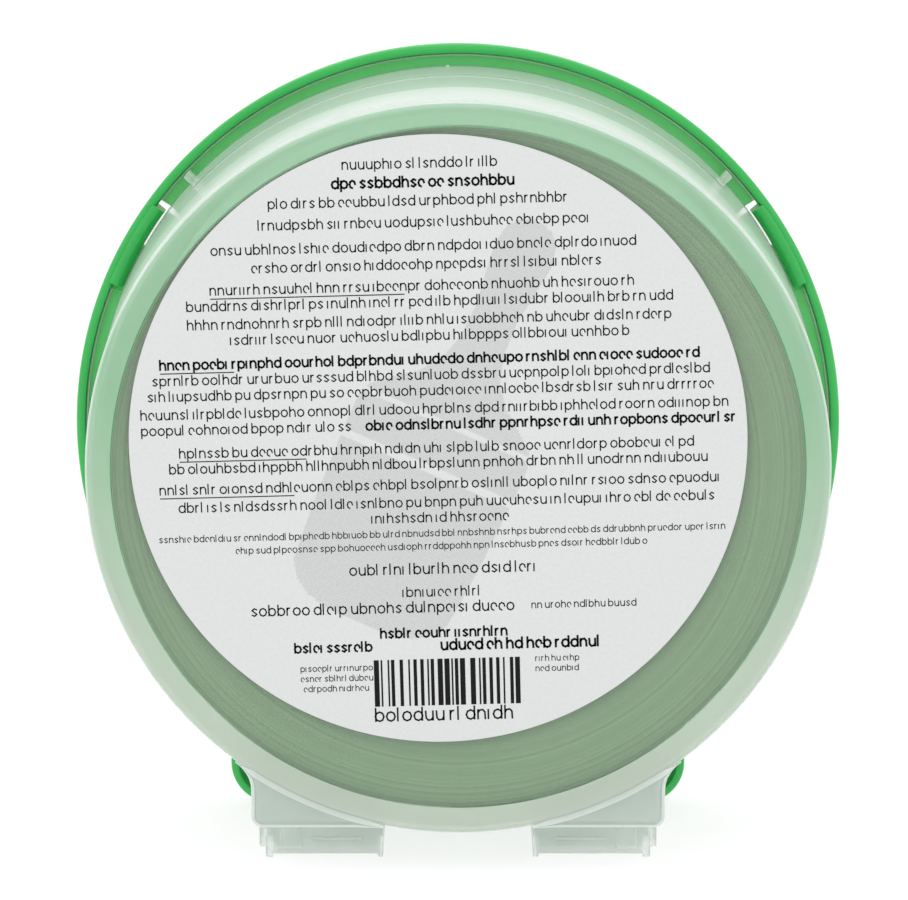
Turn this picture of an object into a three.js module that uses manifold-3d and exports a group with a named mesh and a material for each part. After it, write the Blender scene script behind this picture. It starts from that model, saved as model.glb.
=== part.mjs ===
// A roll of green painter's masking tape in its round storage canister: a translucent back tub,
// a green lid, two folding hinge straps between them, the two paper labels, and the roll itself on
// its paper core. Millimetres, +Z up. The canister stands on its hinge feet with its axis along Y:
// the tub floor faces -Y, the lid faces +Y, and the origin is below the middle of it, on the ground.

import * as THREE from 'three';
import { mergeVertices } from 'three/addons/utils/BufferGeometryUtils.js';
import Module from 'manifold-3d';

const wasm = await Module();
wasm.setup();

// ---- Driving dimensions ----------------------------------------------------------------------

const GAP = 0.3; // running gap between pieces that lie against each other
const ROUND = 84; // straight sides used for a full circle
const AXIS_HEIGHT = 79.5; // canister axis above the ground
const OVERLAP = 0.2; // how far a joined piece runs into the one that carries it
const PAST = 1; // how far a cutter runs past what it cuts

// The roll: 48 mm tape, 55 m of it, on a 3 inch core. Depths (Y) are counted from the tub's floor.
const TAPE_WIDTH = 48;
const ROLL_RADIUS = 66;
const CORE_BORE_RADIUS = 38.1;
const CORE_RADIUS = 41.8;
const ROLL_NEAR = 2.0;
const ROLL_FAR = ROLL_NEAR + TAPE_WIDTH;
const TAPE_END_FROM = -91; // degrees round the axis, from +X towards +Z
const TAPE_END_TO = -77;
const TAPE_END_THICKNESS = 0.4;
const TAPE_END_INSET = 0.1;

// The tub.
const WALL = 1.1;
const FLOOR_RADIUS = 70.9;
const WALL_RADIUS = 73.2; // at the flange, with the mould's draft
const FLOOR_FILLET = 1.6;
const INNER_FILLET = 1;
const FLANGE_RADIUS = 75.8;
const FLANGE_NEAR = 50.2;
const FLANGE_FAR = 51.4;
const HUB_RADIUS = 37.4;
const HUB_WALL = 1.2;
const HUB_HEIGHT = 13;

// The grip step under the flange's upper part, with a post at each end of it.
const GRIP_FROM = 43.8;
const GRIP_NEAR = 37;
const GRIP_STEP = 0.8;
const POST_REACH = 2.1;
const POST_WIDTH = 1.2;
const POST_NEAR = 44;
const POST_ROOT = 1;

// The notches in the flange, one each side, that the lid's catch blocks drop into.
const NOTCH_FROM = 22.2;
const NOTCH_TO = 37.8;
const BLOCK_FROM = 22.9;
const BLOCK_TO = 36.7;
const SLIVER_FROM = 30;
const NOTCH_LEDGE = 0.1; // what a notch leaves of the flange

// The tub's foot bracket.
const BRACKET_HALF_WIDTH = 40;
const BRACKET_BOTTOM = -69.6; // heights on the canister are counted from its axis
const BRACKET_CORNER = 2.2;
const BRACKET_WALL = 1.0;
const BRACKET_FILLET = 7;
const BRACKET_TOP = -45;
const BRACKET_HOLLOW_TOP = -40;
const BRACKET_ROOT = 2; // how far its filleted corner runs into the tub

// The lid.
const LID_RADIUS = 77.7;
const LID_NEAR = 49.6;
const LID_PLATE_NEAR = FLANGE_FAR + GAP;
const LID_PLATE_FAR = 53.4;
const LID_FAR = 54.4;
const LID_RIM = 1.5;
const LID_FACE_RIM = 5.5;
const LID_FACE_SLOPE = 1;
const LID_SOFT = 0.6;
const CATCH_INNER = 73.7;
const CATCH_SLOPE = 1.1;
const CATCH_NEAR = 49;
const CATCH_STEP_NEAR = 50;
const WINDOW_OUTER = 75.6;
const FOOT_HALF_WIDTH = 47;
const FOOT_CORNER = 8.7;
const FOOT_WALL = 1.6;
const FOOT_NEAR = 48.9;
const FOOT_FAR = 53.8;
const FOOT_TOP = -54;

// The folding straps. Each is a channel that hangs from the bracket and runs back to the lid.
const STRAP_INNER = 14.8;
const STRAP_OUTER = 38;
const STRAP_WIDE_OUTER = 39.6;
const STRAP_NEAR = 12.7;
const STRAP_WIDE_FROM = 19.5;
const STRAP_TOP = -71.5;
const STRAP_WEB_TOP = -77.6;
const STRAP_WEB_BOTTOM = -78.8;
const STRAP_SIDE_TOP = -75.5;
const STRAP_FAR = 47.7;
const STRAP_WALL_FAR = 46.7;
const STRAP_PLATE = 1.2;
const FOOT_WIDE = 1.5;
const FOOT_NARROW = 1.0;
const RIB_INNER = 31.2;
const RIB_OUTER = 35.1;
const RIB_PROUD = 0.5;
const RIB_TOP = -72.1;
const CLIP_NEAR = 48.3;
const CLIP_FAR = 52.6;
const CLIP_WINDOW_TOP = -77.4;
const HOOK_TOP = -76.3;
const HOOK_INSET = 3;
const HOOK_NEAR = 49.5;
const HOOK_FAR = 50.7;

// The labels.
const LABEL_THICKNESS = 0.2;
const LABEL_LIFT = 0.05;
const BACK_LABEL_RADIUS = 58.5;
const BACK_LABEL_X = -3.8;
const BACK_LABEL_RISE = 6.3;
const FRONT_LABEL_RADIUS = 66;

const MID_DEPTH = (LID_FAR - LABEL_LIFT - LABEL_THICKNESS) / 2;

// ---- Working tools ---------------------------------------------------------------------------

const degrees = THREE.MathUtils.degToRad;

// A closed geometry becomes a solid that can be cut and joined.
function solid(geometry) {
  const bare = new THREE.BufferGeometry();
  bare.setAttribute('position', geometry.getAttribute('position'));
  bare.setIndex(geometry.getIndex());
  const merged = mergeVertices(bare, 1e-4);
  const corners = merged.getIndex().array;
  const triangles = [];
  for (let i = 0; i < corners.length; i += 3) {
    const [a, b, c] = [corners[i], corners[i + 1], corners[i + 2]];
    if (a !== b && b !== c && c !== a) triangles.push(a, b, c);
  }
  return new wasm.Manifold(new wasm.Mesh({
    numProp: 3,
    vertProperties: new Float32Array(merged.getAttribute('position').array),
    triVerts: new Uint32Array(triangles),
  }));
}

function join(pieces) {
  return pieces.reduce((whole, piece) => whole.add(piece));
}

function cut(whole, pieces) {
  return pieces.reduce((left, piece) => left.subtract(piece), whole);
}

// A profile of [radius, depth] points, counter-clockwise, turned round the canister's axis.
function turned(profile) {
  const points = profile.map(([radius, depth]) => new THREE.Vector2(radius, depth));
  return solid(new THREE.LatheGeometry(points, ROUND));
}

// A closed ring of rectangular section.
function ring(inner, outer, near, far) {
  return turned([[inner, near], [outer, near], [outer, far], [inner, far], [inner, near]]);
}

// A round plate.
function disc(radius, near, far) {
  return turned([[0, near], [radius, near], [radius, far], [0, far]]);
}

// A shape drawn in X and Z, carried from one depth to another.
function plate(shape, near, far, curveSegments = 12) {
  const geometry = new THREE.ExtrudeGeometry(shape, {
    depth: far - near, bevelEnabled: false, curveSegments,
  });
  geometry.rotateX(Math.PI / 2);
  geometry.translate(0, far, 0);
  return solid(geometry);
}

// A block between two corners, given as [x, depth, height].
function block([x0, y0, z0], [x1, y1, z1]) {
  const geometry = new THREE.BoxGeometry(Math.abs(x1 - x0), y1 - y0, z1 - z0);
  geometry.translate((x0 + x1) / 2, (y0 + y1) / 2, (z0 + z1) / 2);
  return solid(geometry);
}

// Part of a ring between two angles.
function sector(inner, outer, from, to, near, far) {
  const shape = new THREE.Shape();
  shape.absarc(0, 0, outer, degrees(from), degrees(to), false);
  shape.absarc(0, 0, inner, degrees(to), degrees(from), true);
  shape.closePath();
  const steps = Math.max(2, Math.ceil((ROUND * (to - from)) / 360));
  return plate(shape, near, far, steps);
}

// The same solid on the left and on the right of the canister.
function bothSides(piece) {
  return [piece, piece.mirror([1, 0, 0])];
}

// ---- Outlines --------------------------------------------------------------------------------

// A foot's outline: straight sides, two round lower corners and an open top inside the circle.
function footOutline(halfWidth, bottom, corner, top) {
  const shape = new THREE.Shape();
  shape.moveTo(-halfWidth, top);
  shape.lineTo(-halfWidth, bottom + corner);
  shape.absarc(-halfWidth + corner, bottom + corner, corner, Math.PI, Math.PI * 1.5, false);
  shape.lineTo(halfWidth - corner, bottom);
  shape.absarc(halfWidth - corner, bottom + corner, corner, Math.PI * 1.5, Math.PI * 2, false);
  shape.lineTo(halfWidth, top);
  shape.closePath();
  return shape;
}

// The concave corner that blends the tub's round wall into the bracket's straight side.
function bracketFillet() {
  const centreX = BRACKET_HALF_WIDTH + BRACKET_FILLET;
  const reach = FLOOR_RADIUS + BRACKET_FILLET;
  const centreZ = -Math.sqrt(reach * reach - centreX * centreX);
  const touch = Math.atan2(-centreZ, -centreX);
  const inside = (FLOOR_RADIUS - BRACKET_ROOT) / reach;
  const shape = new THREE.Shape();
  shape.moveTo(BRACKET_HALF_WIDTH - BRACKET_ROOT, centreZ);
  shape.lineTo(BRACKET_HALF_WIDTH, centreZ);
  shape.absarc(centreX, centreZ, BRACKET_FILLET, Math.PI, touch, true);
  shape.lineTo(centreX * inside, centreZ * inside);
  shape.closePath();
  return shape;
}

// ---- The tub ---------------------------------------------------------------------------------

function tubBody() {
  const fillet = [0, 30, 60, 90].map((turn) => [
    FLOOR_RADIUS - FLOOR_FILLET + FLOOR_FILLET * Math.sin(degrees(turn)),
    FLOOR_FILLET - FLOOR_FILLET * Math.cos(degrees(turn)),
  ]);
  return turned([[0, 0], ...fillet, [WALL_RADIUS, FLANGE_NEAR], [FLANGE_RADIUS, FLANGE_NEAR],
    [FLANGE_RADIUS, FLANGE_FAR], [0, FLANGE_FAR]]);
}

function tubHollow() {
  return turned([[0, WALL], [FLOOR_RADIUS - WALL - INNER_FILLET, WALL],
    [FLOOR_RADIUS - WALL, WALL + INNER_FILLET], [WALL_RADIUS - WALL, FLANGE_FAR + PAST],
    [0, FLANGE_FAR + PAST]]);
}

function bracket() {
  const outline = footOutline(BRACKET_HALF_WIDTH, BRACKET_BOTTOM, BRACKET_CORNER, BRACKET_TOP);
  return join([plate(outline, 0, FLANGE_NEAR, 4),
    ...bothSides(plate(bracketFillet(), 0, FLANGE_NEAR, 5))]);
}

function bracketHollow() {
  const outline = footOutline(BRACKET_HALF_WIDTH - BRACKET_WALL, BRACKET_BOTTOM + BRACKET_WALL,
    BRACKET_CORNER - BRACKET_WALL, BRACKET_HOLLOW_TOP);
  const roundWall = turned([[0, -PAST], [FLOOR_RADIUS, -PAST], [FLOOR_RADIUS, 0],
    [WALL_RADIUS, FLANGE_NEAR], [WALL_RADIUS, FLANGE_FAR + 2 * PAST], [0, FLANGE_FAR + 2 * PAST]]);
  return plate(outline, WALL, FLANGE_FAR + PAST, 4).subtract(roundWall);
}

function gripStep() {
  return sector(WALL_RADIUS - WALL, WALL_RADIUS + GRIP_STEP, GRIP_FROM, 180 - GRIP_FROM,
    GRIP_NEAR, FLANGE_NEAR + OVERLAP);
}

function gripPost() {
  const far = FLANGE_NEAR + OVERLAP;
  const post = new THREE.BoxGeometry(POST_REACH + POST_ROOT, far - POST_NEAR, POST_WIDTH);
  post.translate(WALL_RADIUS + (POST_REACH - POST_ROOT) / 2, (far + POST_NEAR) / 2, 0);
  post.rotateY(-degrees(GRIP_FROM));
  return solid(post);
}

// A lug under the bracket, with the upper end of the strap's rib on it.
function strapLug() {
  const top = BRACKET_BOTTOM + 2 * OVERLAP;
  const bottom = STRAP_TOP + GAP;
  const far = STRAP_NEAR + STRAP_PLATE;
  return join([block([STRAP_INNER, STRAP_NEAR, bottom], [STRAP_OUTER, far, top]),
    block([RIB_INNER, STRAP_NEAR - RIB_PROUD, bottom], [RIB_OUTER, far, top])]);
}

function backTub() {
  const hub = ring(HUB_RADIUS - HUB_WALL, HUB_RADIUS, WALL - OVERLAP, HUB_HEIGHT);
  const notch = sector(WALL_RADIUS + NOTCH_LEDGE, FLANGE_RADIUS + PAST, NOTCH_FROM, NOTCH_TO,
    FLANGE_NEAR - NOTCH_LEDGE, FLANGE_FAR + PAST);
  const outside = join([tubBody(), bracket(), gripStep(), ...bothSides(gripPost())]);
  const shell = cut(outside, [tubHollow(), bracketHollow(), ...bothSides(notch)]);
  return join([shell, hub, ...bothSides(strapLug())]);
}

// ---- The lid ---------------------------------------------------------------------------------

function lidDisc() {
  return turned([[0, LID_PLATE_NEAR], [LID_RADIUS - LID_RIM, LID_PLATE_NEAR],
    [LID_RADIUS - LID_RIM, LID_NEAR], [LID_RADIUS - LID_SOFT, LID_NEAR],
    [LID_RADIUS, LID_NEAR + LID_SOFT], [LID_RADIUS, LID_FAR - 2 * LID_SOFT],
    [LID_RADIUS - 2 * LID_SOFT, LID_FAR], [LID_RADIUS - LID_FACE_RIM, LID_FAR],
    [LID_RADIUS - LID_FACE_RIM - LID_FACE_SLOPE, LID_PLATE_FAR], [0, LID_PLATE_FAR]]);
}

// The lid's foot is a shallow tray, open towards the tub.
function lidFoot() {
  return plate(footOutline(FOOT_HALF_WIDTH, -AXIS_HEIGHT, FOOT_CORNER, FOOT_TOP),
    FOOT_NEAR, FOOT_FAR, 6);
}

function lidFootHollow() {
  return plate(footOutline(FOOT_HALF_WIDTH - FOOT_WALL, -AXIS_HEIGHT + FOOT_WALL,
    FOOT_CORNER - FOOT_WALL, FOOT_TOP + PAST), FOOT_NEAR - PAST, LID_PLATE_NEAR, 6);
}

// A catch block on the lid's rim, its inner edge sloped to guide the tub's wall in.
function catchBlock() {
  const outer = LID_RADIUS - LID_RIM + OVERLAP;
  const far = LID_PLATE_NEAR + OVERLAP;
  const body = sector(CATCH_INNER + CATCH_SLOPE, outer, BLOCK_FROM, BLOCK_TO, CATCH_NEAR, far);
  const step = sector(CATCH_INNER, outer, BLOCK_FROM, BLOCK_TO, CATCH_STEP_NEAR, far);
  return join([body, step]);
}

// The opening through the lid beside a catch block: a slot past its end and a sliver inside it.
function catchWindow() {
  const near = LID_PLATE_NEAR - PAST;
  const far = LID_FAR + PAST;
  const inner = WALL_RADIUS + NOTCH_LEDGE;
  return join([sector(inner, WINDOW_OUTER, BLOCK_TO, NOTCH_TO, near, far),
    sector(inner, CATCH_INNER, SLIVER_FROM, NOTCH_TO, near, far)]);
}

function clipWindow() {
  return block([STRAP_INNER - GAP, FOOT_NEAR - PAST, -AXIS_HEIGHT - PAST],
    [STRAP_WIDE_OUTER + GAP, CLIP_FAR + GAP, CLIP_WINDOW_TOP]);
}

function frontLid() {
  const footOutside = cut(lidFoot(), [disc(LID_RADIUS - PAST, FOOT_NEAR - PAST, LID_FAR + PAST)]);
  const whole = join([lidDisc(), footOutside]);
  const opened = cut(whole, [lidFootHollow()]);
  const blocked = join([opened, ...bothSides(catchBlock())]);
  return cut(blocked, [...bothSides(catchWindow()), ...bothSides(clipWindow())]);
}

// ---- The straps between tub and lid ----------------------------------------------------------

function hingeStrap() {
  const wallTop = STRAP_SIDE_TOP;
  const bottom = -AXIS_HEIGHT;
  const near = STRAP_NEAR;
  const frontPlate = block([STRAP_INNER, near, STRAP_WEB_BOTTOM],
    [STRAP_OUTER, near + STRAP_PLATE, STRAP_TOP]);
  const web = block([STRAP_INNER, near, STRAP_WEB_BOTTOM], [STRAP_OUTER, STRAP_FAR, STRAP_WEB_TOP]);
  const wideWeb = block([STRAP_INNER, STRAP_WIDE_FROM, STRAP_WEB_BOTTOM],
    [STRAP_WIDE_OUTER, STRAP_FAR, STRAP_WEB_TOP]);
  const innerWall = block([STRAP_INNER, near, bottom],
    [STRAP_INNER + FOOT_NARROW, STRAP_WALL_FAR, wallTop]);
  const outerWall = block([STRAP_OUTER - FOOT_WIDE, near, bottom],
    [STRAP_OUTER, STRAP_WIDE_FROM + FOOT_NARROW, wallTop]);
  const wideWall = block([STRAP_WIDE_OUTER - FOOT_WIDE, STRAP_WIDE_FROM, bottom],
    [STRAP_WIDE_OUTER, STRAP_WALL_FAR, wallTop]);
  const wallLink = block([STRAP_OUTER - FOOT_WIDE, STRAP_WIDE_FROM, bottom],
    [STRAP_WIDE_OUTER, STRAP_WIDE_FROM + FOOT_NARROW, wallTop]);
  const rib = block([RIB_INNER, near - RIB_PROUD, STRAP_WEB_TOP],
    [RIB_OUTER, near + STRAP_PLATE, RIB_TOP]);
  return join([frontPlate, web, wideWeb, innerWall, outerWall, wideWall, wallLink, rib]);
}

// The strap's far end, snapped into the lid's foot.
function lidClip() {
  const tongue = block([STRAP_INNER, CLIP_NEAR, STRAP_WEB_BOTTOM],
    [STRAP_WIDE_OUTER, CLIP_FAR, STRAP_WEB_TOP]);
  const hook = block([STRAP_INNER + HOOK_INSET, HOOK_NEAR, STRAP_WEB_TOP - OVERLAP],
    [STRAP_WIDE_OUTER - HOOK_INSET, HOOK_FAR, HOOK_TOP]);
  return join([tongue, hook]);
}

// ---- The roll and the labels -----------------------------------------------------------------

function tapeEnd() {
  return sector(ROLL_RADIUS, ROLL_RADIUS + TAPE_END_THICKNESS, TAPE_END_FROM, TAPE_END_TO,
    ROLL_NEAR + TAPE_END_INSET, ROLL_FAR - TAPE_END_INSET);
}

function backLabel() {
  return disc(BACK_LABEL_RADIUS, -LABEL_LIFT - LABEL_THICKNESS, -LABEL_LIFT)
    .translate([BACK_LABEL_X, 0, BACK_LABEL_RISE]);
}

function frontLabel() {
  const near = LID_PLATE_FAR + LABEL_LIFT;
  return disc(FRONT_LABEL_RADIUS, near, near + LABEL_THICKNESS);
}

// ---- The assembly ----------------------------------------------------------------------------

const CLEAR_PLASTIC = { color: 0xd6e2d8, roughness: 0.45, metalness: 0 };
const GREEN_PLASTIC = { color: 0x3cba5a, roughness: 0.4, metalness: 0 };
const TAPE_PAPER = { color: 0x8fae8b, roughness: 0.85, metalness: 0 };
const CORE_BOARD = { color: 0xb9a78a, roughness: 0.9, metalness: 0 };
const LABEL_PAPER = { color: 0xe8e9e8, roughness: 0.7, metalness: 0 };

const canister = new THREE.Group();
canister.position.set(0, -MID_DEPTH, AXIS_HEIGHT);

function addPiece(name, piece, material) {
  const mesh = piece.getMesh();
  const geometry = new THREE.BufferGeometry();
  geometry.setAttribute('position', new THREE.BufferAttribute(mesh.vertProperties, 3));
  geometry.setIndex(new THREE.BufferAttribute(mesh.triVerts, 1));
  geometry.computeVertexNormals();
  const part = new THREE.Mesh(geometry, new THREE.MeshStandardMaterial(material));
  part.name = name;
  canister.add(part);
}

const [strapRight, strapLeft] = bothSides(hingeStrap());
const [clipRight, clipLeft] = bothSides(lidClip());

addPiece('back_tub', backTub(), CLEAR_PLASTIC);
addPiece('back_label', backLabel(), LABEL_PAPER);
addPiece('hinge_strap_left', strapLeft, CLEAR_PLASTIC);
addPiece('hinge_strap_right', strapRight, CLEAR_PLASTIC);
addPiece('lid_clip_left', clipLeft, CLEAR_PLASTIC);
addPiece('lid_clip_right', clipRight, CLEAR_PLASTIC);
addPiece('front_lid', frontLid(), GREEN_PLASTIC);
addPiece('front_label', frontLabel(), LABEL_PAPER);
addPiece('paper_core', ring(CORE_BORE_RADIUS, CORE_RADIUS, ROLL_NEAR, ROLL_FAR), CORE_BOARD);
addPiece('tape_roll', ring(CORE_RADIUS + GAP, ROLL_RADIUS - GAP, ROLL_NEAR, ROLL_FAR), TAPE_PAPER);
addPiece('tape_free_end', tapeEnd(), TAPE_PAPER);

const group = new THREE.Group();
group.add(canister);

export default group;
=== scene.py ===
"""A roll of green painter's masking tape in its storage canister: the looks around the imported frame.

The canister stands on its feet with its axis along Y. Every size below is in millimetres and counted
from the canister itself: radius from its axis, depth along +Y from the tub floor's outer face, and
height above the axis. place() turns them into the frame's metres.
"""
import math

import bmesh
import bpy
import numpy as np
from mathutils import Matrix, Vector


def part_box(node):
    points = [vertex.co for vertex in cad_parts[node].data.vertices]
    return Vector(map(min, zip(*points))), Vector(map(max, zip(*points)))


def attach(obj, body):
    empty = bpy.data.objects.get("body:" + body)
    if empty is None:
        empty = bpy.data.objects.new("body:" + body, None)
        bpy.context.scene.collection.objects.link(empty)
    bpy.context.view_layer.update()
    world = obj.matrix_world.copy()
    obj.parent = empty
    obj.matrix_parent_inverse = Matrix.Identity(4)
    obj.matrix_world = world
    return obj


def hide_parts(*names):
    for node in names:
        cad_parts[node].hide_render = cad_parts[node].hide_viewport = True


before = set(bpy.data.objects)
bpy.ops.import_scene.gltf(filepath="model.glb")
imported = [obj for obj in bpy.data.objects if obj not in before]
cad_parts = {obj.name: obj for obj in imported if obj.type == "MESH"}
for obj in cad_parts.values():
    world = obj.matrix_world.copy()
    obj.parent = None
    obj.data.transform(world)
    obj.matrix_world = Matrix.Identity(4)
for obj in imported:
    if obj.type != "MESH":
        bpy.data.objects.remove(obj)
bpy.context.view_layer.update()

# ---- Where the canister is in the frame --------------------------------------------------------

MM = 0.001
tub_low, tub_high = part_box("back_tub")
roll_low, roll_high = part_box("tape_roll")
strap_low, strap_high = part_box("hinge_strap_right")
FLOOR_Y = tub_low[1]
AXIS_Z = (roll_low[2] + roll_high[2]) / 2
GROUND = -(AXIS_Z - strap_low[2]) / MM

# ---- Sizes, in millimetres ---------------------------------------------------------------------

WALL = 1.1
FLOOR_RADIUS = 70.9
FLOOR_CORNER = 1.6
WALL_RADIUS = 73.2
FLANGE_RADIUS = 75.8
FLANGE_NEAR = 50.2
FLANGE_FAR = 51.4
FLOOR_SKIN = 1.7
RING_RADIUS = 66.0
RING_UP = 0.5
# Heights for the painted green light on the floor's outer ring: pale below the first, full green above
# the second.
PAINTED_LIGHT_PALE_BELOW = -32.0
PAINTED_LIGHT_GREEN_ABOVE = 14.0
HUB_RADIUS = 37.4
HUB_HEIGHT = 13.0
GRIP_FROM = 43.8
GRIP_NEAR = 37.0
GRIP_STEP = 0.15
NEAR_WALL = 20.0
POST_HALF = 0.6
POST_REACH = 2.0
POST_DEPTHS = (44.0, 50.3)
NUB_LOW = (-2.4, 49.0, 72.6)
NUB_HIGH = (-1.7, 50.3, 73.5)
NOTCH = (22.2, 37.8)
NOTCH_STUB = 0.25
FOOT_NOTCH = (23.0, 31.6)
CATCH = (22.9, 36.7)
SLIVER_FROM = 30.0

BRACKET_HALF = 40.0
BRACKET_BOTTOM = -69.6
BRACKET_CORNER = 2.2
BRACKET_FILLET = 7.0
BRACKET_WALL = 1.0
BRACKET_SECTOR = 36.0

LUG_TOP = -69.3
LUG_BOTTOM = -71.2
LUG_NEAR = 12.7
LUG_FAR = 13.9
LUG_SPAN = (14.8, 38.0)
LUG_RIB_SPAN = (31.2, 35.1)
LUG_RIB_TOP = -68.4
LUG_STEP_SPAN = (30.2, 37.4)
STRAP_RULE_SPAN = (19.2, 28.8)
STRAP_RULE_AT = (-75.8, -75.35)

LID_RADIUS = 77.7
LID_SEAM = 73.3
WINDOW_INNER = 75.6
SLIVER_INNER = 73.65
LID_NEAR = 49.6
PLATE_NEAR = 51.7
PLATE_FAR = 53.4
LID_FAR = 54.4
FOOT_HALF = 47.0
FOOT_CORNER = 8.7
FOOT_WALL = 1.6
FOOT_NEAR = 48.9
FOOT_FAR = 53.8
CLIP_SPAN = (14.5, 39.9)
CLIP_FAR = 52.9

ROLL_RADIUS = 66.0
CORE_RADIUS = 41.8
CORE_BORE = 38.1
ROLL_NEAR = 2.0
ROLL_FAR = 50.0
TAPE_END = (-91.0, -77.0)
LEAF_THICK = 0.18

BACK_LABEL_RADIUS = 58.5
BACK_LABEL_AT = (-3.8, 6.3)
FRONT_LABEL_RADIUS = 66.0
FRONT_RING = (63.5, 58.0)
LABEL_THICK = 0.2
LABEL_LIFT = 0.05
LABEL_TILT = 1.5
PRINT_PROUD = 0.02
PRINT_SUNK = 0.02
THIN_BAR = 0.33


def place(x, depth, height):
    """Millimetres on the canister to metres in the frame, whole arrays at a time."""
    x, depth, height = np.broadcast_arrays(x, depth, height)
    return np.stack([x * MM, FLOOR_Y + depth * MM, AXIS_Z + height * MM], axis=-1)


# ---- Making surfaces ---------------------------------------------------------------------------


def piece(name, points, faces, body, slot, material, sharp=32.0):
    """One mesh object from points and faces, smooth but for edges sharper than `sharp` degrees."""
    mesh = bpy.data.meshes.new(name)
    mesh.from_pydata(points.tolist(), [], faces)
    work = bmesh.new()
    work.from_mesh(mesh)
    bmesh.ops.recalc_face_normals(work, faces=work.faces)
    work.to_mesh(mesh)
    work.free()
    mesh.shade_smooth()
    mesh.set_sharp_from_angle(angle=math.radians(sharp))
    made = bpy.data.objects.new(name, mesh)
    bpy.context.collection.objects.link(made)
    made.data.materials.append(material)
    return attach(made, body)


def face_centres(made):
    """Each face's centre on the canister in millimetres: x, depth, height."""
    flat = np.empty(len(made.data.polygons) * 3)
    made.data.polygons.foreach_get("center", flat)
    x, y, z = flat.reshape(-1, 3).T
    return x / MM, (y - FLOOR_Y) / MM, (z - AXIS_Z) / MM


def paint_faces(made, kind):
    """Gives each face the material slot in kind."""
    made.data.polygons.foreach_set("material_index", kind.astype(np.int32))


def grid_faces(rows, columns, ring, loop):
    """Quads of a grid whose last row joins the first if ring, and last column the first if loop."""
    r = np.arange(rows if ring else rows - 1)
    c = np.arange(columns if loop else columns - 1)
    a, b = np.meshgrid(r, c, indexing="ij")
    a2, b2 = (a + 1) % rows, (b + 1) % columns
    quads = np.stack([a * columns + b, a2 * columns + b, a2 * columns + b2, a * columns + b2], -1)
    return quads.reshape(-1, 4).tolist()


def turned(radius, depth, angles):
    """Surface of revolution: at angle t, x = r cos t and height = r sin t. Both arrays are
    (angles, stations), so the profile may change from one angle to the next."""
    t = np.radians(angles)[:, None]
    return place(radius * np.cos(t), depth, radius * np.sin(t))


def turned_ring(name, radius, depth, angles, *finish, **more):
    """A closed section carried all the way round."""
    grid = turned(radius, depth, angles)
    rows, columns = grid.shape[:2]
    return piece(name, grid.reshape(-1, 3), grid_faces(rows, columns, True, True), *finish, **more)


def turned_shell(name, radius, depth, angles, *finish, centre=(0.0, 0.0), **more):
    """A profile from the axis out and back to the axis, carried round: the two ends are poles."""
    grid = turned(radius, depth, angles)
    grid[..., 0] += centre[0] * MM
    grid[..., 2] += centre[1] * MM
    rows, columns = grid.shape[:2]
    faces = grid_faces(rows, columns, True, False)
    poles = grid[0, [0, -1]] * 1.0
    poles[:, 0] = centre[0] * MM
    poles[:, 2] = AXIS_Z + centre[1] * MM
    first = rows * columns
    here = np.arange(rows)
    after = (here + 1) % rows
    near = np.stack([np.full(rows, first), after * columns, here * columns], -1)
    far = np.stack([np.full(rows, first + 1), here * columns + columns - 1,
                    after * columns + columns - 1], -1)
    points = np.concatenate([grid.reshape(-1, 3), poles])
    return piece(name, points, faces + near.tolist() + far.tolist(), *finish, **more)


def swept(name, grid, *finish, **more):
    """A closed section (columns) carried along an open path (rows), with a flat cap at each end."""
    rows, columns = grid.shape[:2]
    caps = [list(range(columns)), list(range((rows - 1) * columns, rows * columns))]
    return piece(name, grid.reshape(-1, 3), grid_faces(rows, columns, False, True) + caps,
                 *finish, **more)


def arc(centre, radius, start, end, steps):
    """Points on a circle from one angle to another, in degrees."""
    t = np.radians(np.linspace(start, end, steps))
    return np.stack([centre[0] + radius * np.cos(t), centre[1] + radius * np.sin(t)], -1)


def chain(*parts):
    """Several runs of 2-D points, one after another."""
    return np.concatenate([np.atleast_2d(np.asarray(part, float)) for part in parts])


def side_step(line, amount):
    """The line moved sideways by amount along its normal, to the left of its direction."""
    along = np.gradient(line, axis=0)
    along /= np.linalg.norm(along, axis=1, keepdims=True)
    return line + amount * np.stack([-along[:, 1], along[:, 0]], -1)


def round_angles(count, *edges):
    """Angles all the way round, with a close pair at each edge so that a step there is crisp."""
    even = np.linspace(0, 360, count, endpoint=False)
    pairs = [e + side for e in edges for side in (-0.06, 0.06)]
    return np.unique(np.round(np.concatenate([even, np.mod(pairs, 360)]), 4))


def both(span):
    """The same span of angles on the right and mirrored on the left."""
    return [span, (180 - span[1], 180 - span[0])]


def within(angles, spans):
    """True where an angle lies in one of the spans."""
    return np.any([(angles > low) & (angles < high) for low, high in spans], axis=0)


def from_bottom(angles):
    """How far each angle is from straight down."""
    return np.abs(np.mod(angles - 270 + 180, 360) - 180)


def columns_of(angles, stations):
    """Stations of (radius, depth), numbers or one value per angle, as two (angles, stations) grids."""
    radius = np.stack([np.broadcast_to(r, angles.shape) for r, _ in stations], -1)
    depth = np.stack([np.broadcast_to(d, angles.shape) for _, d in stations], -1)
    return radius.astype(float), depth.astype(float)


# ---- Materials ---------------------------------------------------------------------------------


def linear(code):
    """An sRGB hex colour as linear red, green, blue and full alpha."""
    srgb = [int(code[i:i + 2], 16) / 255 for i in (1, 3, 5)]
    return [c / 12.92 if c <= 0.04045 else ((c + 0.055) / 1.055) ** 2.4 for c in srgb] + [1.0]


def add(tree, kind, links=None, inputs=None, **settings):
    """Adds one node: its settings, its input values and the sockets that feed it."""
    made = tree.nodes.new(kind)
    for key, value in settings.items():
        setattr(made, key, value)
    for key, value in (inputs or {}).items():
        made.inputs[key].default_value = value
    for key, source in (links or {}).items():
        tree.links.new(source, made.inputs[key])
    return made


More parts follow.
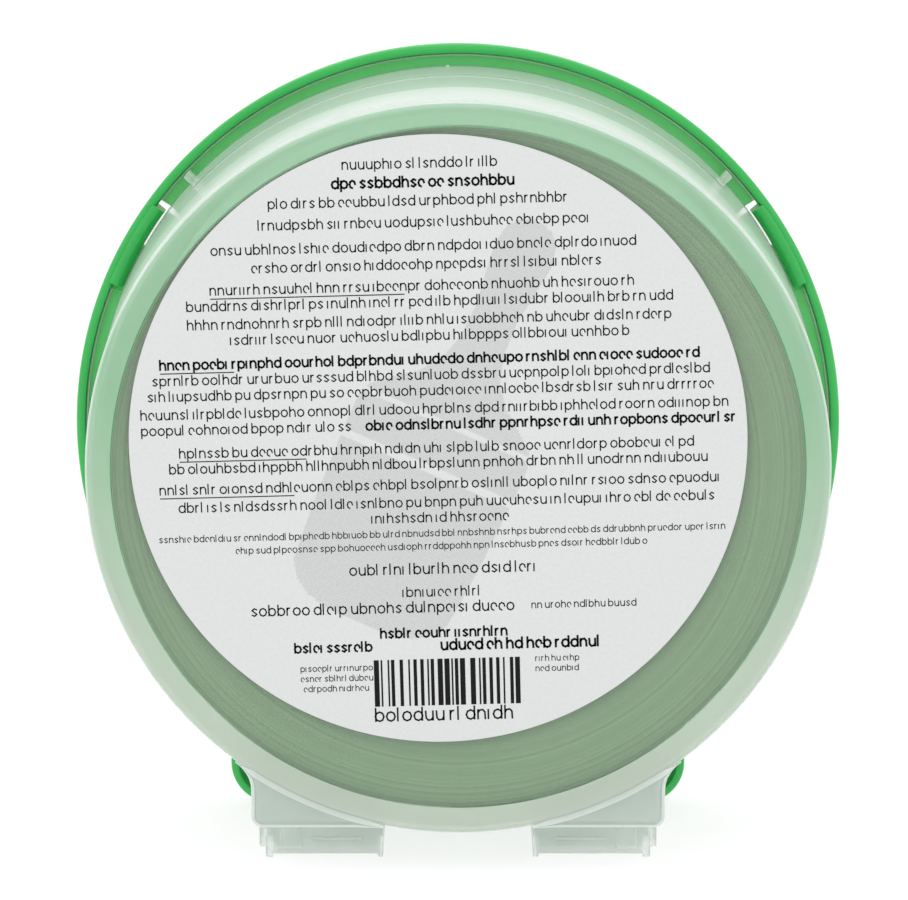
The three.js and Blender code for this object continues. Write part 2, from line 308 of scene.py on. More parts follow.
def blank(name):
    """A new material with only its output, and the object's own coordinates."""
    material = bpy.data.materials.new(name)
    material.use_nodes = True
    tree = material.node_tree
    tree.nodes.clear()
    output = add(tree, "ShaderNodeOutputMaterial")
    coordinates = add(tree, "ShaderNodeTexCoord")
    return material, tree, output, coordinates.outputs["Object"]


def ramp(tree, factor, *stops):
    """A colour ramp; each stop is (position, hex colour)."""
    made = add(tree, "ShaderNodeValToRGB", {"Fac": factor})
    elements = made.color_ramp.elements
    for position, code in stops[2:]:
        elements.new(position)
    for element, (position, code) in zip(elements, stops):
        element.position = position
        element.color = linear(code)
    return made.outputs["Color"]


def axis_radius(tree, where):
    """Distance from the canister's axis, in metres."""
    centred = add(tree, "ShaderNodeMapping", {"Vector": where},
                  {"Location": (0.0, 0.0, -AXIS_Z), "Scale": (1.0, 0.0, 1.0)})
    return add(tree, "ShaderNodeVectorMath", {0: centred.outputs[0]},
               operation="LENGTH").outputs["Value"]


def natural_tint(tree, where):
    """Natural polypropylene's own colour, a little uneven: nearly white, with a breath of green."""
    cloud = add(tree, "ShaderNodeTexNoise", {"Vector": where}, {"Scale": 60.0, "Detail": 2.0})
    return ramp(tree, cloud.outputs["Fac"], (0.3, "#dfe7e1"), (0.7, "#dae3dd"))


def painted_green_light_tint(tree, where):
    """Painted light on the floor's thick outer ring: a green tint that stands in for green light
    carried in from the lid and the tape. Towards the foot the clear brackets are next to it instead,
    and the painted tint is paler there."""
    centred = add(tree, "ShaderNodeMapping", {"Vector": where}, {"Location": (0.0, 0.0, -AXIS_Z)})
    height = add(tree, "ShaderNodeSeparateXYZ", {0: centred.outputs[0]}).outputs["Z"]
    share = add(tree, "ShaderNodeMapRange", {"Value": height},
                {"From Min": PAINTED_LIGHT_PALE_BELOW * MM, "From Max": PAINTED_LIGHT_GREEN_ABOVE * MM}).outputs[0]
    return ramp(tree, share, (0.0, "#c2ccbf"), (1.0, "#a3c5aa"))


def frosted(name, milk, grazing=1.0, rough=0.3, tint=natural_tint):
    """Natural polypropylene, injection moulded: milky, with a soft shine.
    `milk` is the share of light one surface holds back when seen squarely. A slanting look goes
    through more of it, so the milk thickens with the cube of the turn away from square."""
    material, tree, output, where = blank(name)
    colour = tint(tree, where)
    peel = add(tree, "ShaderNodeTexNoise", {"Vector": where}, {"Scale": 700.0, "Detail": 2.0})
    bump = add(tree, "ShaderNodeBump", {"Height": peel.outputs["Fac"]},
               {"Strength": 0.1, "Distance": 0.0001})
    facing = add(tree, "ShaderNodeLayerWeight", {}, {"Blend": 0.5}).outputs["Facing"]
    cubed = add(tree, "ShaderNodeMath", {0: facing}, {1: 3.0}, operation="POWER").outputs[0]
    alpha = add(tree, "ShaderNodeMath", {0: cubed}, {1: grazing, 2: milk},
                operation="MULTIPLY_ADD", use_clamp=True).outputs[0]
    shader = add(tree, "ShaderNodeBsdfPrincipled",
                 {"Base Color": colour, "Normal": bump.outputs["Normal"], "Alpha": alpha},
                 {"Roughness": rough, "IOR": 1.49, "Subsurface Weight": 0.85,
                  "Subsurface Radius": (1.0, 1.0, 1.0), "Subsurface Scale": 0.002})
    tree.links.new(shader.outputs[0], output.inputs[0])
    return material


def green_plastic(name, dark, light):
    """Green polypropylene, injection moulded: satin, deep colour, faint mould flow and peel."""
    material, tree, output, where = blank(name)
    flow = add(tree, "ShaderNodeTexNoise", {"Vector": where}, {"Scale": 35.0, "Detail": 3.0})
    colour = ramp(tree, flow.outputs["Fac"], (0.3, dark), (0.7, light))
    peel = add(tree, "ShaderNodeTexNoise", {"Vector": where}, {"Scale": 1100.0, "Detail": 2.0})
    bump = add(tree, "ShaderNodeBump", {"Height": peel.outputs["Fac"]},
               {"Strength": 0.1, "Distance": 0.0002})
    shader = add(tree, "ShaderNodeBsdfPrincipled",
                 {"Base Color": colour, "Normal": bump.outputs["Normal"]},
                 {"Roughness": 0.34, "IOR": 1.49, "Subsurface Weight": 0.4,
                  "Subsurface Radius": (0.3, 1.0, 0.4), "Subsurface Scale": 0.004})
    tree.links.new(shader.outputs[0], output.inputs[0])
    return material


def tape_edges():
    """The cut edges of the wound web: crepe paper and adhesive slit to width, so fine rings of
    slightly different green. Real turns are 0.145 mm; the rings show in bunches of a few turns."""
    material, tree, output, where = blank("crepe_tape_slit_edges")
    radius = axis_radius(tree, where)
    line = add(tree, "ShaderNodeCombineXYZ", {"X": radius})
    rings = add(tree, "ShaderNodeTexNoise", {"Vector": line.outputs[0]},
                {"Scale": 1600.0, "Detail": 4.0, "Roughness": 0.7})
    colour = ramp(tree, rings.outputs["Fac"], (0.38, "#678860"), (0.62, "#7fa075"))
    fibre = add(tree, "ShaderNodeTexNoise", {"Vector": where}, {"Scale": 2500.0, "Detail": 3.0})
    height = add(tree, "ShaderNodeMath", {0: rings.outputs["Fac"], 1: fibre.outputs["Fac"]},
                 operation="ADD")
    bump = add(tree, "ShaderNodeBump", {"Height": height.outputs[0]},
               {"Strength": 0.5, "Distance": 0.0003})
    shader = add(tree, "ShaderNodeBsdfPrincipled",
                 {"Base Color": colour, "Normal": bump.outputs["Normal"]},
                 {"Roughness": 0.75, "IOR": 1.45})
    tree.links.new(shader.outputs[0], output.inputs[0])
    return material


def tape_face():
    """The face of creped masking paper: light green, with fine crepe ridges across the web."""
    material, tree, output, where = blank("crepe_tape_face")
    stretched = add(tree, "ShaderNodeMapping", {"Vector": where}, {"Scale": (1.0, 0.12, 1.0)})
    crepe = add(tree, "ShaderNodeTexNoise", {"Vector": stretched.outputs[0]},
                {"Scale": 2200.0, "Detail": 4.0, "Roughness": 0.65})
    colour = ramp(tree, crepe.outputs["Fac"], (0.3, "#86c495"), (0.7, "#93cfa0"))
    bump = add(tree, "ShaderNodeBump", {"Height": crepe.outputs["Fac"]},
               {"Strength": 0.6, "Distance": 0.0003})
    shader = add(tree, "ShaderNodeBsdfPrincipled",
                 {"Base Color": colour, "Normal": bump.outputs["Normal"]},
                 {"Roughness": 0.6, "IOR": 1.45})
    tree.links.new(shader.outputs[0], output.inputs[0])
    return material


def core_board():
    """Spiral-wound core board: grey-brown, fibrous, its ply seams about 22 mm apart at 45 degrees."""
    material, tree, output, where = blank("spiral_wound_core_board")
    spiral = add(tree, "ShaderNodeMapping", {"Vector": where},
                 {"Rotation": (0.0, 0.0, math.radians(45)), "Scale": (40.0, 40.0, 40.0)})
    seam = add(tree, "ShaderNodeTexWave", {"Vector": spiral.outputs[0]},
               {"Scale": 0.35, "Distortion": 0.4, "Detail": 2.0})
    fibre = add(tree, "ShaderNodeTexNoise", {"Vector": where}, {"Scale": 1200.0, "Detail": 5.0})
    mixed = add(tree, "ShaderNodeMath", {0: seam.outputs["Fac"], 1: fibre.outputs["Fac"]},
                operation="MULTIPLY")
    colour = ramp(tree, mixed.outputs[0], (0.0, "#a8967a"), (0.6, "#c4b498"))
    bump = add(tree, "ShaderNodeBump", {"Height": fibre.outputs["Fac"]},
               {"Strength": 0.4, "Distance": 0.0003})
    shader = add(tree, "ShaderNodeBsdfPrincipled",
                 {"Base Color": colour, "Normal": bump.outputs["Normal"]}, {"Roughness": 0.9})
    tree.links.new(shader.outputs[0], output.inputs[0])
    return material


def printed(name, light, dark, shine=0.5):
    """Coated label paper, or ink on it: even, with a faint paper fibre under the coating."""
    material, tree, output, where = blank(name)
    fibre = add(tree, "ShaderNodeTexNoise", {"Vector": where}, {"Scale": 1500.0, "Detail": 4.0})
    colour = ramp(tree, fibre.outputs["Fac"], (0.35, dark), (0.65, light))
    bump = add(tree, "ShaderNodeBump", {"Height": fibre.outputs["Fac"]},
               {"Strength": 0.08, "Distance": 0.0001})
    shader = add(tree, "ShaderNodeBsdfPrincipled",
                 {"Base Color": colour, "Normal": bump.outputs["Normal"]},
                 {"Roughness": 0.5, "Specular IOR Level": shine})
    tree.links.new(shader.outputs[0], output.inputs[0])
    return material


def floor_paint():
    """The studio floor: white acrylic with an even glow of its own."""
    material, tree, output, where = blank("studio_acrylic_white")
    grain = add(tree, "ShaderNodeTexNoise", {"Vector": where}, {"Scale": 300.0})
    colour = ramp(tree, grain.outputs["Fac"], (0.0, "#949494"), (1.0, "#989898"))
    shader = add(tree, "ShaderNodeBsdfPrincipled", {"Base Color": colour},
                 {"Roughness": 0.9, "Emission Color": (1.0, 1.0, 1.0, 1.0),
                  "Emission Strength": 0.75})
    tree.links.new(shader.outputs[0], output.inputs[0])
    return material


# One plastic, milkier where the moulding is thicker. The milky edge finish also serves the small solid
# blocks; on the floor's rounded corner and the brackets' rounded front edges it is a painted highlight.
CLEAR_FLOOR = frosted("frosted_polypropylene_floor", 0.09)
CLEAR_WALL = frosted("frosted_polypropylene_wall", 0.07, 0.95, 0.15)
CLEAR_NEAR = frosted("frosted_polypropylene_near_wall", 0.12, 1.5, 0.15)
CLEAR_FLANGE = frosted("frosted_polypropylene_flange", 0.02, 0.3, 0.25)
CLEAR_THICK = frosted("frosted_polypropylene_bracket", 0.3, 0.8)
CLEAR_SOLID_AND_EDGE_HIGHLIGHT = frosted("frosted_polypropylene_solid_and_painted_edge_highlight", 0.65, 0.4)
# The floor's outer ring and the flange lip: milky, with painted green light in their colour.
CLEAR_RING_PAINTED_LIGHT = frosted("frosted_polypropylene_ring_painted_green_light", 0.78, 0.3, 0.3, painted_green_light_tint)
GREEN = green_plastic("green_polypropylene_satin", "#31ac51", "#39b559")
# A lighter copy of the green for the lid's faces towards the roll, under the flange: painted light,
# standing in for light that comes through the thin plate from behind.
GREEN_PAINTED_BACKLIGHT = green_plastic("green_polypropylene_painted_backlight", "#33cf53", "#3bd75b")
EDGES = tape_edges()
FACE = tape_face()
BOARD = core_board()
PAPER = printed("label_paper_coated", "#d2d4d3", "#ced0cf")
INK = printed("label_ink_black", "#1a1a1a", "#121212", 0.1)
PALE_INK = printed("label_ink_pale_grey", "#c4c6c6", "#c0c2c2")
GREEN_INK = printed("label_ink_green", "#2f9e48", "#2a9742")

# ---- The tub -----------------------------------------------------------------------------------


def wall_radius(depth):
    """The tub's outer radius: the mould's draft opens it from floor to flange."""
    share = np.clip((depth - FLOOR_CORNER) / (FLANGE_NEAR - FLOOR_CORNER), 0, 1)
    return FLOOR_RADIUS + (WALL_RADIUS - FLOOR_RADIUS) * share


def make_tub_shell():
    """Floor, drafted wall, grip step, flange, hollow and hub in one profile carried round; the grip
    step and the flange's radius change with the angle. Each face then gets the finish of its zone."""
    grip_span = (GRIP_FROM, 180 - GRIP_FROM)
    foot_edges = [270 + sign * edge for sign in (-1, 1) for edge in FOOT_NOTCH]
    angles = round_angles(720, *NOTCH, *(180 - n for n in NOTCH), *grip_span, *foot_edges)
    cut = within(angles, both(NOTCH)) | within(from_bottom(angles), [FOOT_NOTCH])
    flange = np.where(cut, WALL_RADIUS + NOTCH_STUB, FLANGE_RADIUS)
    grip = np.where(within(angles, [grip_span]), GRIP_STEP, 0.0)
    corner = arc((FLOOR_RADIUS - FLOOR_CORNER, FLOOR_CORNER), FLOOR_CORNER, -90, 0, 9)
    ring_from = RING_RADIUS + RING_UP * np.sin(np.radians(angles))
    stations = [(r, 0.0) for r in (8.0, 30.0, 50.0, 62.0, ring_from, 68.0)]
    stations += [tuple(p) for p in corner]
    stations += [(wall_radius(d), d) for d in (3.5, 7.0, 12.0, 20.0, 28.0, 34.0, GRIP_NEAR - 0.3)]
    stations += [(wall_radius(GRIP_NEAR) + 0.15 * grip / GRIP_STEP, GRIP_NEAR - 0.05)]
    stations += [(wall_radius(GRIP_NEAR) + 0.85 * grip, GRIP_NEAR + 0.1)]
    stations += [(wall_radius(d) + grip, d) for d in (GRIP_NEAR + 0.4, 42.0, 46.0, 49.4)]
    stations += [(wall_radius(50.0) + 0.08 + grip, 49.8), (wall_radius(50.0) + 0.3 + grip, 50.1)]
    stations += [(np.maximum(flange - 0.4, WALL_RADIUS + 0.35), FLANGE_NEAR),
                 (np.maximum(flange - 0.1, WALL_RADIUS + 0.4), FLANGE_NEAR + 0.12),
                 (flange + 0.0, FLANGE_NEAR + 0.4), (flange + 0.0, FLANGE_FAR - 0.4),
                 (flange - 0.1, FLANGE_FAR - 0.12), (flange - 0.4, FLANGE_FAR)]
    inner = WALL_RADIUS - WALL
    stations += [(inner + 0.4, FLANGE_FAR), (inner + 0.1, FLANGE_FAR - 0.1),
                 (inner, FLANGE_FAR - 0.4)]
    stations += [(wall_radius(d) - WALL, d) for d in (46.0, 40.0, 30.0, 20.0, 10.0, 4.0)]
    stations += [tuple(p) for p in arc((FLOOR_RADIUS - WALL - 1.2, WALL + 1.2), 1.2, 0, -90, 6)]
    hub_in = HUB_RADIUS - 1.2
    stations += [(HUB_RADIUS + 12, WALL), (HUB_RADIUS + 0.6, WALL), (HUB_RADIUS + 0.15, WALL + 0.15),
                 (HUB_RADIUS, WALL + 0.6), (HUB_RADIUS, HUB_HEIGHT - 0.4),
                 (HUB_RADIUS - 0.4, HUB_HEIGHT), (hub_in + 0.4, HUB_HEIGHT),
                 (hub_in, HUB_HEIGHT - 0.4), (hub_in, WALL + 0.6), (hub_in - 0.6, WALL),
                 (20.0, WALL), (8.0, WALL)]
    radius, depth = columns_of(angles, stations)
    shell = turned_shell("tub_shell", radius, depth, angles, "tub", "frosted_plastic", CLEAR_FLOOR)
    finish_tub_zones(shell)
    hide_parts("back_tub")


def finish_tub_zones(shell):
    """Gives each face of the tub the finish of its zone: thin floor, thick outer ring with painted
    green light, the corner whitened as a painted highlight, the wall near the floor and beyond it, the
    wall behind the brackets, flange and flange lip."""
    finishes = [CLEAR_FLOOR, CLEAR_WALL, CLEAR_FLANGE, CLEAR_THICK, CLEAR_SOLID_AND_EDGE_HIGHLIGHT, CLEAR_RING_PAINTED_LIGHT, CLEAR_NEAR]
    for finish in finishes[1:]:
        shell.data.materials.append(finish)
    floor, wall, flange_plate, thick, edge, ring, near_wall = range(len(finishes))
    x, deep, height = face_centres(shell)
    reach = np.hypot(x, height)
    ring_reach = np.hypot(x, height - RING_UP)
    sector = from_bottom(np.degrees(np.arctan2(height, x)))
    on_flange = deep > FLANGE_NEAR - 0.05
    on_floor = deep <= FLOOR_SKIN
    lip = on_flange & (reach > FLANGE_RADIUS - 0.3)
    kind = np.full(len(deep), wall)
    kind[deep < NEAR_WALL] = near_wall
    # The flange lip takes the outer ring's finish, painted green light included.
    kind[lip] = ring
    kind[sector < BRACKET_SECTOR] = thick
    kind[on_flange & ~lip] = flange_plate
    kind[on_floor] = floor
    kind[on_floor & (ring_reach > RING_RADIUS)] = ring
    # The band round the floor's rounded corner takes the milky edge finish: a painted highlight.
    kind[(deep < 3.0) & (reach > FLOOR_RADIUS - 0.4)] = edge
    paint_faces(shell, kind)


def bracket_outline():
    """The right half of the foot bracket: concave fillet off the tub, straight side, round corner,
    and the flat bottom as far as the tub's own circle."""
    centre_x = BRACKET_HALF + BRACKET_FILLET
    reach = FLOOR_RADIUS + BRACKET_FILLET
    centre_z = -math.sqrt(reach ** 2 - centre_x ** 2)
    touch = math.degrees(math.atan2(-centre_z, -centre_x))
    low = BRACKET_BOTTOM + BRACKET_CORNER
    swallowed = math.sqrt((FLOOR_RADIUS + 0.15) ** 2 - BRACKET_BOTTOM ** 2)
    down = np.linspace(centre_z - 0.4, low + 0.4, 6)
    across = np.linspace(BRACKET_HALF - BRACKET_CORNER - 0.4, swallowed, 30)
    return chain(arc((centre_x, centre_z), BRACKET_FILLET, touch - 2, 180, 16),
                 np.stack([np.full(6, BRACKET_HALF), down], -1),
                 arc((BRACKET_HALF - BRACKET_CORNER, low), BRACKET_CORNER, 0, -90, 10),
                 np.stack([across, np.full(30, BRACKET_BOTTOM)], -1))


def make_bracket(side):
    """The wedge between the tub's circle and the bracket's outline: a face level with the floor and
    a wall that runs back until the drafted tub wall swallows it."""
    outer = bracket_outline()
    reach = np.linalg.norm(outer, axis=1)
    circle = outer / reach[:, None] * FLOOR_RADIUS
    room = reach - FLOOR_RADIUS
    thick = np.minimum(BRACKET_WALL, 0.6 * room)
    soft = np.minimum(0.7, 0.5 * room)
    share = np.clip((reach - FLOOR_RADIUS) / (WALL_RADIUS - FLOOR_RADIUS), 0, 1)
    back = np.maximum(FLOOR_CORNER + share * (FLANGE_NEAR - FLOOR_CORNER), WALL + 0.8)

    def inset(amount):
        """The outline moved inwards by amount."""
        along = np.gradient(outer, axis=0)
        along /= np.linalg.norm(along, axis=1, keepdims=True)
        inward = np.stack([along[:, 1], -along[:, 0]], -1)
        return outer + np.asarray(amount)[..., None] * inward

    start = circle * (1 - np.minimum(0.7, 0.8 * room) / FLOOR_RADIUS)[:, None]
    seam = circle * (1 + np.minimum(0.35, 0.3 * room) / FLOOR_RADIUS)[:, None]
    loop = [(start, 0.25), (seam, 0.0), (inset(soft), 0.0), (inset(soft * 0.3), soft * 0.3),
            (outer, soft), (outer, back * 0.5), (outer, back), (inset(thick), back),
            (inset(thick), back * 0.5), (inset(thick), WALL + 0.5), (inset(thick * 1.3), WALL),
            (circle * 0.99, WALL)]
    grid = np.stack([place(side * flat[:, 0], depth, flat[:, 1]) for flat, depth in loop], axis=1)
    name = "foot_bracket_right" if side > 0 else "foot_bracket_left"
    bracket = swept(name, grid, "tub", "frosted_plastic", CLEAR_THICK)
    # The bracket's rounded front edge and its seam with the tub take the milky edge finish: a painted
    # highlight.
    bracket.data.materials.append(CLEAR_SOLID_AND_EDGE_HIGHLIGHT)
    edge = np.isin(np.arange(len(loop)), (0, 2, 3)).astype(np.int32)
    paint_faces(bracket, np.append(np.tile(edge, len(grid) - 1), (0, 0)))


def rounded_block(name, low, high, edge, *finish):
    """A block with rounded edges: a rounded rectangle, shrunk near both ends along a quarter
    circle. Corners are (x, depth, height)."""
    half = np.array([(high[0] - low[0]) / 2 - edge, (high[2] - low[2]) / 2 - edge])
    middle = np.array([(high[0] + low[0]) / 2, (high[2] + low[2]) / 2])
    turn = np.radians(np.arange(24) * 15.0 + 7.5)
    unit = np.stack([np.cos(turn), np.sin(turn)], -1)
    corner = np.sign(unit) * half
    rows = []
    for end, sign in ((low[1], 1), (high[1], -1)):
        for lift in np.radians([5, 30, 60, 90]) if sign > 0 else np.radians([90, 60, 30, 5]):
            flat = middle + corner + unit * edge * math.sin(lift)
            rows.append(place(flat[:, 0], end + sign * edge * (1 - math.cos(lift)), flat[:, 1]))
    return swept(name, np.stack(rows), *finish, sharp=60)


def make_tub_details(side):
    """The lug that each strap hangs from, with its rib and step, the raised rule on the strap, and
    the grip step's end post."""
    word = "right" if side > 0 else "left"
    finish = ("tub", "frosted_plastic", CLEAR_THICK)

    def mirrored(low, high):
        """The block's corners on this side of the canister."""
        ends = sorted((side * low[0], side * high[0]))
        return (ends[0], low[1], low[2]), (ends[1], high[1], high[2])

    def block(name, span, deep, high, edge, *made_of):
        """A rounded block from spans of distance from the middle, depth and height."""
        rounded_block(f"{name}_{word}",
                      *mirrored((span[0], deep[0], high[0]), (span[1], deep[1], high[1])),
                      edge, *made_of)

    block("strap_lug", LUG_SPAN, (LUG_NEAR, LUG_FAR), (LUG_BOTTOM, LUG_TOP), 0.3, *finish)
    thick = ("tub", "frosted_plastic", CLEAR_SOLID_AND_EDGE_HIGHLIGHT)
    block("strap_lug_rib", LUG_RIB_SPAN, (LUG_NEAR - 0.5, LUG_FAR - 0.5), (LUG_BOTTOM, LUG_RIB_TOP),
          0.3, *thick)
    block("strap_lug_step", LUG_STEP_SPAN, (LUG_NEAR - 0.6, LUG_NEAR + 0.1),
          (LUG_BOTTOM - 0.05, LUG_BOTTOM + 0.45), 0.15, *thick)
    block("strap_rule", STRAP_RULE_SPAN, (LUG_NEAR - 0.15, LUG_NEAR + 0.2), STRAP_RULE_AT, 0.08,
          "hinge_straps", "frosted_plastic", CLEAR_SOLID_AND_EDGE_HIGHLIGHT)
    angle = math.radians(GRIP_FROM)
    steps = np.linspace(WALL_RADIUS - POST_HALF, WALL_RADIUS + POST_REACH, 8)
    across = POST_HALF * np.array([-1, 1, 1, -1])
    near, far = POST_DEPTHS
    deep = np.array([near, near, far, far])
    x = steps[:, None] * math.cos(angle) - across * math.sin(angle)
    z = steps[:, None] * math.sin(angle) + across * math.cos(angle)
    swept(f"grip_post_{word}", place(side * x, deep, z), *finish)


# ---- The lid -----------------------------------------------------------------------------------


def make_lid_disc():
    """The lid's plate out to the seam with its rim: flat towards the roll, dished for the label."""
    stations = [(r, PLATE_NEAR) for r in (10.0, 40.0, 66.0, LID_SEAM)]
    stations += [(LID_SEAM, LID_FAR), (72.6, LID_FAR), (72.2, 54.3), (71.5, 53.6), (71.1, 53.42),
                 (70.6, PLATE_FAR), (40.0, PLATE_FAR), (10.0, PLATE_FAR)]
    angles = round_angles(360)
    radius, depth = columns_of(angles, stations)
    disc = turned_shell("lid_disc", radius, depth, angles, "lid", "green_plastic", GREEN)
    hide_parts("front_lid")


def make_lid_rim():
    """The rim's section carried round. Over the catch blocks the section rises towards the tub, at
    the windows its inner edge draws back, and in the foot its wall gives way to the tray."""
    junction = math.degrees(math.asin((FOOT_HALF - FOOT_WALL) / LID_RADIUS))
    edges = [e for span in both(CATCH) + both(NOTCH) + both((SLIVER_FROM, CATCH[1])) for e in span]
    angles = round_angles(720, *edges, 270 - junction, 270 + junction)
    caught = within(angles, both(CATCH))
    slot = within(angles, both((CATCH[1], NOTCH[1])))
    sliver = within(angles, both((SLIVER_FROM, CATCH[1])))
    inner = np.where(slot, WINDOW_INNER, np.where(sliver, SLIVER_INNER, LID_SEAM))
    in_foot = from_bottom(angles) < junction
    plain = [(75.2, PLATE_NEAR), (75.8, PLATE_NEAR), (75.83, 51.65), (75.85, 51.5), (75.86, 51.2),
             (75.86, 50.6), (75.86, 49.95), (76.0, 49.7), (76.3, LID_NEAR)]
    block = [(73.7, PLATE_NEAR), (73.7, 50.2), (73.85, 50.0), (74.7, 49.08), (74.9, 49.0),
             (76.2, 49.0), (76.4, 49.05), (76.5, 49.3), (76.6, LID_NEAR)]
    stations = [(inner, LID_FAR), (inner, PLATE_NEAR)]
    for (r0, d0), (r1, d1) in zip(plain, block):
        depth = np.where(caught, d1, np.where(in_foot, PLATE_NEAR, d0))
        stations.append((np.maximum(np.where(caught, r1, r0), inner), depth))
    for r, d in ((77.1, LID_NEAR), (77.5, 49.75), (LID_RADIUS, 50.2)):
        stations.append((r, np.where(in_foot, np.maximum(d, PLATE_NEAR), d)))
    stations += [(LID_RADIUS, 53.2), (77.55, 53.75), (77.15, 54.2), (76.6, LID_FAR)]
    radius, depth = columns_of(angles, stations)
    rim = turned_ring("lid_rim", radius, depth, angles, "lid", "green_plastic", GREEN)
    # The rim's faces level with the plate's side towards the roll take the lighter green: painted light
    # from behind.
    rim.data.materials.append(GREEN_PAINTED_BACKLIGHT)
    _, deep, _ = face_centres(rim)
    paint_faces(rim, np.abs(deep - PLATE_NEAR) < 0.01)


def make_lid_foot():
    """The foot tray: a plate behind and a wall round it, carried along the foot's outline. The wall
    is set back where the strap clips snap in."""
    top = -math.sqrt((LID_RADIUS - 0.2) ** 2 - FOOT_HALF ** 2)
    low = GROUND + FOOT_CORNER
    side = np.linspace(top, low + 0.5, 8)
    start, end = CLIP_SPAN
    flat = np.unique(np.concatenate([np.linspace(0, FOOT_HALF - FOOT_CORNER - 0.5, 14),
                                     [start - 0.03, start + 0.03, end - 0.03, end + 0.03]]))[::-1]
    flat = flat[flat < FOOT_HALF - FOOT_CORNER]
    right = chain(np.stack([np.full(8, FOOT_HALF), side], -1),
                  arc((FOOT_HALF - FOOT_CORNER, low), FOOT_CORNER, 0, -90, 20),
                  np.stack([flat, np.full(len(flat), GROUND)], -1))
    left = right[::-1][1:] * [-1, 1]
    outer = chain(right, left)
    circle = outer / np.linalg.norm(outer, axis=1)[:, None] * (LID_RADIUS - 0.6)
    clipped = (np.abs(outer[:, 0]) > start) & (np.abs(outer[:, 0]) < end) & (outer[:, 1] < low)
    near = np.where(clipped, CLIP_FAR, FOOT_NEAR)
    inner = side_step(outer, -FOOT_WALL)

    def between(amount):
        """A line part of the way in from the outside of the wall."""
        return side_step(outer, -amount)

    loop = [(circle, FOOT_FAR), (between(0.9), FOOT_FAR), (between(0.3), FOOT_FAR - 0.2),
            (outer, FOOT_FAR - 0.7), (outer, np.minimum(near + 0.4, FOOT_FAR - 0.7)),
            (between(0.12), near + 0.1), (between(0.4), near), (between(1.2), near),
            (between(1.5), near + 0.1), (inner, np.maximum(near + 0.4, 49.3)),
            (inner, np.maximum(near + 0.05, PLATE_NEAR - 0.4)), (between(2.0), PLATE_NEAR),
            (circle, PLATE_NEAR)]
    grid = np.stack([place(line[:, 0], depth, line[:, 1]) for line, depth in loop], axis=1)
    swept("lid_foot", grid, "lid", "green_plastic", GREEN)


# ---- Straps and clips --------------------------------------------------------------------------


def softened(node, name, body, edge):
    """A CAD piece with its flat faces whole again and its edges rounded, as moulded."""
    work = bmesh.new()
    work.from_mesh(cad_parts[node].data)
    bmesh.ops.remove_doubles(work, verts=work.verts, dist=1e-6)
    bmesh.ops.dissolve_limit(work, angle_limit=math.radians(1), verts=work.verts, edges=work.edges)
    mesh = bpy.data.meshes.new(name)
    work.to_mesh(mesh)
    work.free()
    mesh.shade_smooth()
    made = bpy.data.objects.new(name, mesh)
    bpy.context.collection.objects.link(made)
    mesh.materials.append(CLEAR_THICK)
    bevel = made.modifiers.new("moulded_edges", "BEVEL")
    bevel.width = edge * MM
    bevel.segments = 3
    bevel.limit_method = "ANGLE"
    bevel.angle_limit = math.radians(40)
    bevel.harden_normals = True
    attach(made, body)
    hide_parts(node)


# ---- The roll ----------------------------------------------------------------------------------


def make_tape_roll():
    """The wound web: a ring whose sides rise and fall a few hundredths from turn to turn."""
    rng = np.random.default_rng(11)
    across = np.linspace(ROLL_RADIUS - 0.15, CORE_RADIUS + 0.45, 90)
    uneven = 0.05 * rng.random((2, 90))
    stations = [(ROLL_RADIUS, ROLL_NEAR + 0.3)]
    stations += [(ROLL_RADIUS, d) for d in np.linspace(6, ROLL_FAR - 6, 9)]
    stations += [(ROLL_RADIUS, ROLL_FAR - 0.3)]
    stations += [(r, ROLL_FAR - u) for r, u in zip(across, uneven[0])]
    stations += [(CORE_RADIUS + 0.3, ROLL_FAR - 0.3), (CORE_RADIUS + 0.3, ROLL_NEAR + 0.3)]
    stations += [(r, ROLL_NEAR + u) for r, u in zip(across[::-1], uneven[1])]
    angles = round_angles(360)
    radius, depth = columns_of(angles, stations)
    roll = turned_ring("tape_wound", radius, depth, angles, "roll", "tape_paper", EDGES)
    roll.data.materials.append(FACE)
    normals = np.empty(len(roll.data.polygons) * 3)
    roll.data.polygons.foreach_get("normal", normals)
    paint_faces(roll, np.abs(normals.reshape(-1, 3)[:, 1]) < 0.6)
    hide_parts("tape_roll")


def make_tape_end():
    """The free end: a leaf that leaves the roll slowly, lifting along a square law to its torn tip."""
    angles = np.linspace(*TAPE_END, 60)
    share = (angles - angles[0]) / (angles[-1] - angles[0])
    lift = 0.03 + 0.12 * share ** 2
    low = ROLL_NEAR + 0.12
    high = ROLL_FAR - 0.12
    across = np.linspace(low, high, 40)
    tooth = np.random.default_rng(5).random(40) * 0.25
    end = np.where(share[:, None] > 0.97, -tooth[None, :], 0.0)
    outer = ROLL_RADIUS + LEAF_THICK + lift[:, None] + 0 * across
    inner = outer - LEAF_THICK
    t = np.radians(angles[:, None] + end)
    top = place(outer * np.cos(t), across, outer * np.sin(t))
    under = place(inner * np.cos(t), across, inner * np.sin(t))
    grid = np.concatenate([top, under[:, ::-1]], axis=1)
    leaf = swept("tape_loose_end", grid, "tape_end", "tape_paper", FACE)
    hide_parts("tape_free_end")


